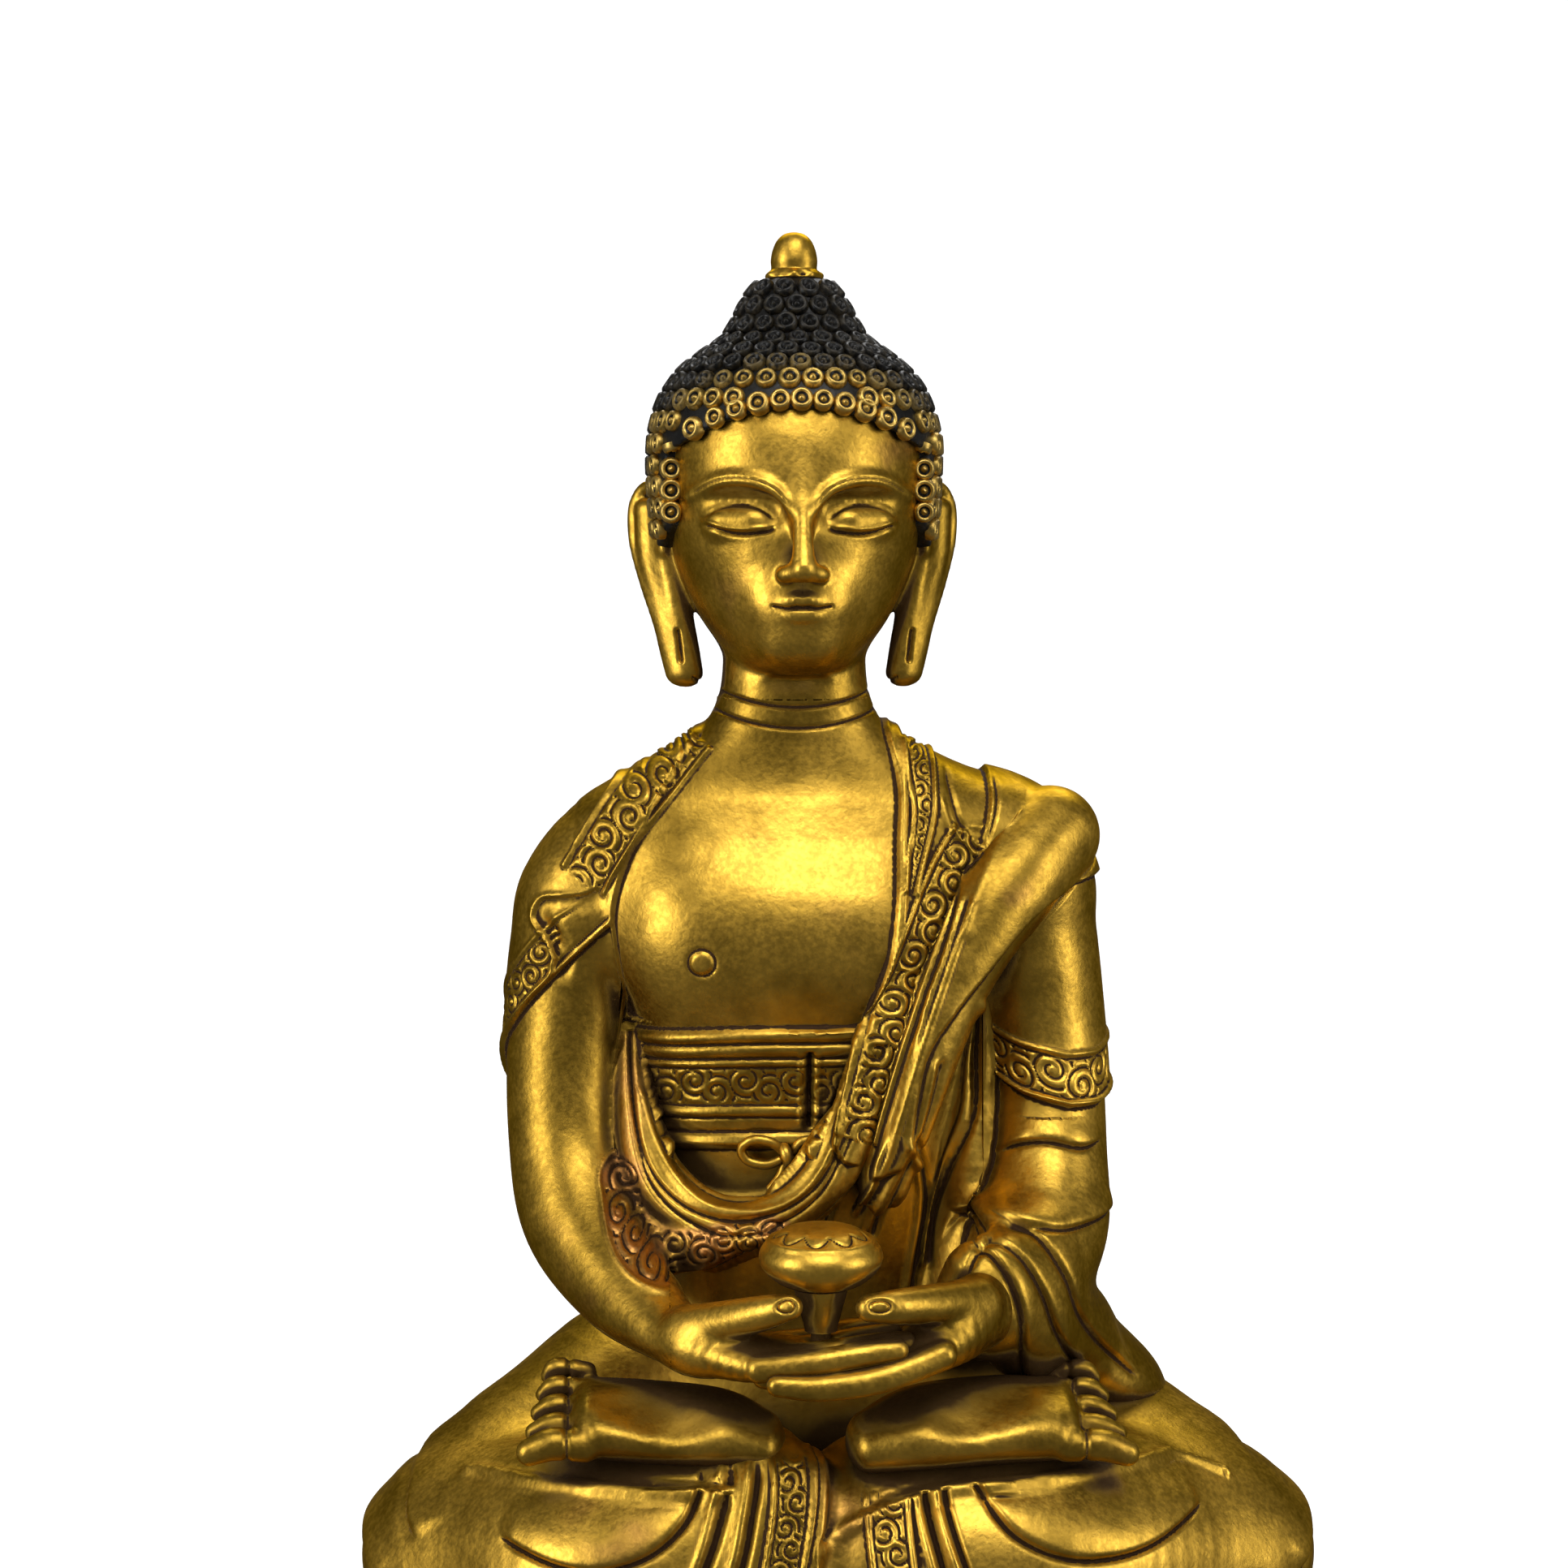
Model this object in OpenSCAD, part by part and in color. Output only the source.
// Seated meditating figure in cast brass, assembled from hollow castings.
// The front faces -Y, +Z is up, and the origin is the middle of the underside.

/* [Figure] */
// Height from the table to the tip of the crown jewel
figure_h = 300; // [280:5:320]
// Wall thickness of the hollow castings
wall = 3.5; // [3:0.5:4.5]

/* [Joints] */
// Radius of the dowels between castings
dowel_r = 1.6; // [1.2:0.1:2]
// Radial room around a dowel
dowel_gap = 0.12; // [0.08:0.02:0.2]
// Radial room around the neck, waist and wrist spigots
spigot_gap = 0.35; // [0.3:0.05:0.5]

/* [Bowl] */
// Greatest radius of the alms bowl
bowl_r = 12.2; // [11:0.2:13]
// Radius of the foot that stands in the palm
bowl_foot_r = 3.2; // [2.8:0.1:4]
// Radius of the peg under the foot
bowl_peg_r = 2; // [1.6:0.1:2.2]

/* [Base] */
// Thickness of the closing plate
plate_t = 2; // [1.6:0.2:2.4]
// Radius of the countersunk screws
screw_r = 1.5; // [1.2:0.1:1.8]

/* [Hidden] */
k = figure_h / 300;      // everything below is laid out for a 300 mm figure
facets = 22;             // sides of a rounded limb
far = 400;               // larger than the figure
body_x = -7.25;          // the upper body sits left of the middle of the knees
body_y = 16.62;            // and this far behind the middle of the base
waist_z = 66;            // joint between lap and torso
neck_z = 201;            // joint between torso and head
shoulder_x = 38;         // joints between torso and arms, either side of the spine
hair_front = [-30, 259]; // y and z of the hairline over the forehead
hair_slope = 39;         // the hair joint falls towards the nape at this angle
palm_z = 79.5;           // top of the right palm, where the bowl stands
bowl_at = [0.5, -66];    // x and y of the bowl's axis
flange_z = 8;            // top of the inward flange round the base opening
plate_z = 0.2;           // the plate is set this far up inside the rim
seat_z = 0;              // underside of the rim
waist_spigot = [22, 15]; // half width and half depth of the waist spigot
waist_y = 6;             // y of its middle
spigot_h = 8;            // how far the waist spigot reaches down
neck_spigot_r = 9;
wrist_spigot_r = 4.2;
wrist_at = [34.5, -54, 75.5];       // middle of the joint between sleeve and hand
wrist_turn = [-80, 0, -28];         // turns +Z up the forearm
wrist_pin = [37.2, -48.8, 76.5];    // middle of the dowel across the wrist
palm_pin = [14, -66, 71.6];         // middle of the dowel between the palms
palms_z = 71;                       // the right hand lies on the left one here
head_x = -1.2;                      // the head's axis, left of the spine
brass = "darkgoldenrod";

// rounded limbs and bodies: each row is x, y, z and three half sizes
hips = [
    [-30, 16, 36, 32, 30, 34], [30, 16, 36, 32, 30, 34],
];
right_thigh = [[-34, 12, 36, 30, 30, 32], [-64, -14, 27, 28.5, 30, 25]];
left_thigh = [[34, 12, 36, 30, 30, 32], [78, -12, 26, 29, 30, 25]];
right_shin = [[-64, -20, 26, 28.6, 28, 26], [-40, -44, 29, 24, 30, 27], [-10, -52, 28, 16, 26, 27]];
left_shin = [[78, -20, 26, 29.1, 28, 26], [44, -44, 29, 24, 30, 27], [12, -52, 28, 16, 26, 27]];
feet = [
    [-56, -46, 52, 11, 16, 9], [-18, -50, 54, 12, 15, 8],
    [18, -50, 54, 12, 15, 8], [60, -42, 50, 13, 16, 9],
];
waist = [[0, 8, 40, 40, 30, 20], [0, 6, 62, 32, 24, 8]];
sleeve_foot = [[62, 6, 46, 14, 22, 14], [84, 6, 30, 12, 18, 10]];
// torso sections: z, half width, half depth, y of the middle
torso = [
    [66, 32, 24, 6], [88, 33, 24, 4], [110, 34.5, 25, 2], [130, 37, 27, 0], [150, 41, 29, -1],
    [163, 46, 28, 1], [174, 47, 25, 4], [183, 37, 21, 5], [190, 25, 18, 3], [196, 17.5, 15.5, 1],
    [201, 15, 14.5, 0],
];
robe_swag = [
    [-26, -14, 118, 8, 8, 12], [-24, -26, 100, 8, 6, 10],
    [4, -30, 97, 10, 5, 8], [24, -20, 112, 8, 8, 14],
];
right_upper_arm = [
    [-40, 3, 170, 14, 17, 14], [-47, 1, 160, 14.5, 15.5, 18], [-50.5, -2, 128, 13.5, 14, 14],
    [-50.5, -8, 105, 13, 14, 13], [-46.5, -16, 89, 13.5, 13.5, 13], [-38, -34, 80, 10.5, 10.5, 10],
    [-26, -56, 75, 7.5, 7.5, 6],
];
right_palm = [[-22, -60, 75.2, 7, 7, 5.2], [-6, -66, 74.4, 9, 10, 5], [16, -66, 74.8, 6, 9, 4.6]];
right_thumb = [[-20, -64, 79, 5, 5, 4], [-9.5, -72, 86.5, 3.4, 3.4, 3]];
left_upper_arm = [
    [40, 3, 168, 15, 17, 14], [47, 1, 160, 15.5, 16.5, 18], [53.5, -2, 126, 13.5, 15, 14],
    [54.5, -8, 102, 13, 16, 14], [52, -16, 84, 13, 16, 13], [44, -34, 78, 11, 13, 11],
    [36.5, -50, 76, 8, 9, 9],
];
sleeve_drop = [[55, -8, 80, 12, 16, 14], [60, -2, 60, 12, 16, 8]];
left_palm = [
    [33, -57, 74, 6, 6, 5], [20, -66, 70.5, 9, 9, 4.2],
    [2, -70, 66.5, 7, 8, 3.6], [-10, -72, 66, 5, 7, 3],
];
left_thumb = [[25, -65, 77, 5, 5, 4], [11, -73, 86, 3.4, 3.4, 3]];
// the head: x, y, z and half sizes, from the neck up
neck = [[head_x, 0, 201, 14.6, 14, 3], [head_x, -2, 212, 14, 14, 4]];
face = [[head_x, -8, 222, 21, 22, 15], [head_x, -5, 238, 27.5, 27, 20]];
skull = [[head_x, -4, 236, 28, 28, 20], [head_x, -2, 246, 30.5, 31, 23]];
nose = [[head_x, -31, 240, 2.5, 3, 3], [head_x, -33, 228, 4, 4, 3]];
crown = [[head_x, 0, 262, 21, 22, 12], [head_x, 0, 276, 14.5, 14.5, 9], [head_x, 0, 284, 9.5, 9.5, 7.5]];
ear = [[31.5, 3, 238, 3, 5.5, 7], [27, 0, 222, 3, 4, 6], [25, -2, 208, 3.5, 3.5, 5]];

// the base outline, as circles: x, y and radius
base_outline = [[-62, -14, 22], [74, -12, 22], [-14, -50, 22], [16, -50, 22], [-24, 20, 25], [28, 20, 25]];
plate_inset = 6;         // the plate's recess starts this far inside the outline
opening_inset = 15;      // and the opening through the flange this far
// each screw stands on the flange, outward of its circle's middle
flange_mid = (plate_inset + opening_inset) / 2;
screw_ways = [[-1, 0], [1, 0], [0, -1], [0, -1], [0, 1], [0, 1]];
screws_at = [
    for (i = [0:5])
        [for (j = [0, 1]) base_outline[i][j] + screw_ways[i][j] * (base_outline[i][2] - flange_mid)],
];

module place() {
    scale(k) translate([body_x, body_y, 0]) children();
}

module blob(b, inset = 0) {
    translate([b[0], b[1], b[2]])
        scale([b[3] - inset, b[4] - inset, b[5] - inset])
            sphere(1, $fn = facets);
}

// neighbouring blobs of a list, joined by rounded limbs
module limb(list, inset = 0) {
    for (i = [0:len(list) - 2])
        hull() {
            blob(list[i], inset);
            blob(list[i + 1], inset);
        }
}

module section(s, inset = 0) {
    translate([0, s[3], s[0]])
        scale([s[1] - inset, s[2] - inset, 1])
            cylinder(h = 0.01, r = 1, $fn = 36);
}

module torso_body(inset = 0) {
    for (i = [0:len(torso) - 2])
        hull() {
            section(torso[i], inset);
            section(torso[i + 1], inset);
        }
}

module between_z(low, high) {
    intersection() {
        children();
        translate([-far / 2, -far / 2, low]) cube([far, far, high - low]);
    }
}

module dowel(at, turn, length, gap = 0) {
    translate(at) rotate(turn) translate([0, 0, -length / 2 - gap])
        cylinder(h = length + 2 * gap, r = dowel_r + gap, $fn = 24);
}

// everything on the hair side of the sloping joint, raised by lift
module hair_side(lift = 0) {
    translate([0, hair_front[0], hair_front[1] + lift]) rotate([-hair_slope, 0, 0])
        translate([-far / 2, -far / 2, 0]) cube([far, far, far]);
}

module outline(inset) {
    for (i = [0, 2]) hull() for (j = [i, i + 1, 4, 5]) disc(base_outline[j], inset);
    hull() for (j = [0, 2, 4]) disc(base_outline[j], inset);
    hull() for (j = [1, 3, 5]) disc(base_outline[j], inset);
    hull() for (j = [2, 3]) disc(base_outline[j], inset);
}

module disc(c, inset) {
    translate([c[0], c[1]]) circle(c[2] - inset, $fn = 40);
}

module lap_mass(inset = 0) {
    limb(hips, inset);
    limb(right_thigh, inset);
    limb(left_thigh, inset);
    limb(right_shin, inset);
    limb(left_shin, inset);
    limb(waist, inset);
    limb(sleeve_foot, inset);
}

module lap_casting() {
    color(brass) place() difference() {
        union() {
            between_z(seat_z, waist_z) {
                union() {
                    lap_mass();
                    for (i = [0, 2]) hull() { blob(feet[i]); blob(feet[i + 1]); }
                }
            }
            linear_extrude(flange_z) outline(0);
        }
        between_z(flange_z, waist_z - 6) lap_mass(wall);
        // opening, plate recess and waist socket
        translate([0, 0, -1]) linear_extrude(far / 20) outline(opening_inset);
        translate([0, 0, -1]) linear_extrude(plate_z + plate_t + 1) outline(plate_inset);
        translate([0, 0, waist_z - 12]) waist_oval(spigot_gap, far);
        at_base_screws() translate([0, 0, plate_z + 0.2])
            cylinder(h = 5.6, r = screw_r + 0.05, $fn = 24);
        waist_holes();
    }
}

// the waist spigot's oval, widened by grow
module waist_oval(grow, height) {
    translate([0, waist_y, 0])
        scale([1, (waist_spigot[1] + grow) / (waist_spigot[0] + grow), 1])
            cylinder(h = height, r = waist_spigot[0] + grow, $fn = 60);
}

// one dowel through each side of the waist spigot
module at_waist_dowels() {
    for (a = [0, 90, 180, 270]) {
        reach = (a % 180 == 0 ? waist_spigot[0] : waist_spigot[1]) + 0.2;
        translate([reach * cos(a), waist_y + reach * sin(a), waist_z - spigot_h / 2])
            rotate([0, 90, a])
                children();
    }
}

module waist_holes() {
    at_waist_dowels() dowel([0, 0, 0], 0, 6, dowel_gap);
}

module waist_dowels() {
    color("peru") place() at_waist_dowels() dowel([0, 0, 0], 0, 6);
}

module torso_casting() {
    color(brass) place() difference() {
        union() {
            intersection() {
                union() {
                    torso_body();
                    limb(robe_swag);
                }
                translate([-shoulder_x, -far / 2, 0]) cube([2 * shoulder_x, far, far]);
            }
            translate([0, 0, waist_z - spigot_h]) waist_oval(0, spigot_h + 0.1);
        }
        intersection() {
            torso_body(wall);
            translate([wall - shoulder_x, -far / 2, waist_z + wall])
                cube([2 * (shoulder_x - wall), far, neck_z - 14 - waist_z - wall]);
        }
        translate([0, 0, waist_z - spigot_h - 1]) waist_oval(-wall, spigot_h + wall + 2);
        translate([head_x, 0, neck_z - 16]) cylinder(h = far, r = neck_spigot_r + spigot_gap, $fn = 60);
        waist_holes();
        neck_holes();
        arm_holes(1);
        arm_holes(-1);
    }
}

module at_neck_dowels() {
    for (s = [-1, 1])
        translate([head_x + s * (neck_spigot_r + 0.3), 0, neck_z - 4]) rotate([0, 90, 0]) children();
}

module neck_holes() {
    at_neck_dowels() dowel([0, 0, 0], 0, 6, dowel_gap);
}

module neck_dowels() {
    color("peru") place() at_neck_dowels() dowel([0, 0, 0], 0, 6);
}

module at_arm_dowels(side) {
    for (z = [160, 172]) translate([side * shoulder_x, 3, z]) rotate([0, 90, 0]) children();
}

module arm_holes(side) {
    at_arm_dowels(side) dowel([0, 0, 0], 0, 12, dowel_gap);
}

module right_arm_dowels() {
    color("peru") place() at_arm_dowels(-1) dowel([0, 0, 0], 0, 12);
}

module left_arm_dowels() {
    color("peru") place() at_arm_dowels(1) dowel([0, 0, 0], 0, 12);
}

// an arm stays outside its shoulder joint, except in front of the torso
module arm_room(side) {
    translate([side > 0 ? -far + shoulder_x : -shoulder_x, -32, 95]) cube([far, far, far]);
    translate([side > 0 ? -far + shoulder_x : -shoulder_x, -22, 66]) cube([far, far, far]);
}

module right_arm() {
    color(brass) place() difference() {
        union() {
            difference() {
                limb(right_upper_arm);
                arm_room(-1);
            }
            limb(right_palm);
            limb(right_thumb);
        }
        arm_holes(-1);
        bowl_room();
        translate([bowl_at[0], bowl_at[1], palm_z - 5.4]) cylinder(h = 9, r = bowl_peg_r + 0.25, $fn = 32);
        palm_hole();
        translate([0, 0, 0.15]) below_palms();
    }
}

// the space the bowl stands in and lifts out of
module bowl_room() {
    translate([bowl_at[0], bowl_at[1], palm_z])
        cylinder(h = 13, r1 = bowl_foot_r + 0.8, r2 = bowl_r + 1, $fn = 48);
    translate([bowl_at[0], bowl_at[1], palm_z + 12.9]) cylinder(h = far, r = bowl_r + 1, $fn = 48);
}

// everything below the plane where the right hand lies on the left one
module below_palms() {
    translate([-far / 2, -far / 2, palms_z - far]) cube([far, far, far]);
}

module palm_hole() {
    dowel(palm_pin, 0, 4.6, dowel_gap);
}

module palm_dowel() {
    color("peru") place() dowel(palm_pin, 0, 4.6);
}

module left_arm() {
    color(brass) place() difference() {
        union() {
            difference() {
                limb(left_upper_arm);
                arm_room(1);
            }
            limb(sleeve_drop);
        }
        arm_holes(1);
        translate([-far / 2, -far / 2, waist_z + 0.1 - far]) cube([far, far, far]);
        wrist_socket(spigot_gap);
        dowel(wrist_pin, 0, 10, dowel_gap);
    }
}

// the socket in the sleeve that takes the left wrist
module wrist_socket(gap) {
    translate(wrist_at) rotate(wrist_turn) {
        translate([0, 0, -gap]) cylinder(h = 9 + 2 * gap, r = wrist_spigot_r + gap, $fn = 40);
        translate([0, 0, -30]) cylinder(h = 30, r = 12, $fn = 40);
    }
}

module left_hand() {
    color(brass) place() difference() {
        union() {
            intersection() {
                union() {
                    between_z(0, palms_z) limb(left_palm);
                    limb([left_palm[0], left_palm[1]]);
                    limb(left_thumb);
                }
                translate(wrist_at) rotate(wrist_turn) translate([0, 0, -100.1])
                    cylinder(h = 100, r = 60, $fn = 40);
                hand_room();
            }
            translate(wrist_at) rotate(wrist_turn) translate([0, 0, -4])
                cylinder(h = 12.5, r = wrist_spigot_r, $fn = 40);
        }
        bowl_room();
        palm_hole();
        dowel(wrist_pin, 0, 10, dowel_gap);
    }
}

// the left thumb rises outside the right hand's fingertips
module hand_room() {
    below_palms();
    translate([23.5, -far / 2, 0]) cube([far, far, far]);
    translate([-far / 2, -far / 2, 80.5]) cube([far, far, far]);
}

module wrist_dowel() {
    color("peru") place() dowel(wrist_pin, 0, 10);
}

module head_mass(inset = 0) {
    limb(face, inset);
    limb(skull, inset);
    limb([neck[1], face[0]], inset);
}

module head_casting() {
    color(brass) place() difference() {
        union() {
            difference() {
                union() {
                    between_z(neck_z, 300) {
                        union() {
                            limb(neck);
                            head_mass();
                            limb(nose);
                            for (s = [-1, 1]) translate([head_x, 0, 0]) scale([s, 1, 1]) limb(ear);
                        }
                    }
                }
                hair_side();
            }
            // lip that locates the hair casting
            difference() {
                intersection() {
                    head_mass(wall + spigot_gap);
                    translate([0, 0, -0.1]) hair_side(-2);
                }
                hair_side(4);
            }
            translate([head_x, 0, neck_z - 10]) cylinder(h = 12, r = neck_spigot_r, $fn = 60);
        }
        head_mass(2 * wall);
        translate([head_x, 0, neck_z - 11]) cylinder(h = 24, r = neck_spigot_r - wall, $fn = 60);
        neck_holes();
    }
}

module hair_cap() {
    color([0.1, 0.09, 0.08]) place() difference() {
        intersection() {
            union() {
                limb([[head_x, -4, 236, 29.5, 28.5, 20], [head_x, -2, 246, 32, 32.5, 23]]);
                limb(crown);
                limb([crown[0], skull[1]]);
            }
            hair_side(0.02);
        }
        head_mass(wall);
        translate([head_x, 0, 282]) cylinder(h = 20, r = 2.3, $fn = 32);
        translate([head_x, 0, 290.5]) cylinder(h = 20, r = 8, $fn = 32);
    }
}

module crown_finial() {
    color("goldenrod") place() translate([head_x, 0, 0]) rotate_extrude($fn = 64) polygon([
        [0, 283], [2.1, 283], [2.1, 290.5], [5.2, 290.5], [5.1, 293], [4.6, 296],
        [3.6, 298.3], [2, 299.6], [0, 300],
    ]);
}

module alms_bowl() {
    color("goldenrod") place() translate([bowl_at[0], bowl_at[1], palm_z]) rotate_extrude($fn = 72) polygon([
        [0, -5], [bowl_peg_r, -5], [bowl_peg_r, 0], [bowl_foot_r, 0], [bowl_foot_r + 0.2, 1],
        [5.5, 8.6], [8.4, 9.8], [bowl_r - 1, 12.2], [bowl_r, 14.6], [bowl_r - 0.5, 16.6],
        [bowl_r - 2.2, 18.4], [bowl_r - 3.4, 19.2], [7, 20.2], [3.5, 20.9], [0, 21.1],
    ]);
}

module at_base_screws() {
    for (p = screws_at) translate([p[0], p[1], 0]) children();
}

module base_plate() {
    color("sienna") place() difference() {
        translate([0, 0, plate_z]) linear_extrude(plate_t) outline(plate_inset + 0.25);
        at_base_screws() {
            translate([0, 0, -1]) cylinder(h = 6, r = screw_r + 0.1, $fn = 24);
            translate([0, 0, plate_z - 0.01])
                cylinder(h = 1.46, r1 = 2 * screw_r + 0.1, r2 = screw_r + 0.1, $fn = 24);
        }
    }
}

module base_screws() {
    color("dimgray") place() at_base_screws() difference() {
        union() {
            translate([0, 0, plate_z]) cylinder(h = 1.4, r1 = 2 * screw_r, r2 = screw_r, $fn = 32);
            translate([0, 0, plate_z]) cylinder(h = 5.6, r = screw_r, $fn = 32);
        }
        translate([-2 * screw_r, -0.3, plate_z - 0.1]) cube([4 * screw_r, 0.6, 0.7]);
    }
}

lap_casting();
torso_casting();
right_arm();
left_arm();
left_hand();
head_casting();
hair_cap();
crown_finial();
alms_bowl();
base_plate();
base_screws();
waist_dowels();
neck_dowels();
right_arm_dowels();
left_arm_dowels();
wrist_dowel();
palm_dowel();
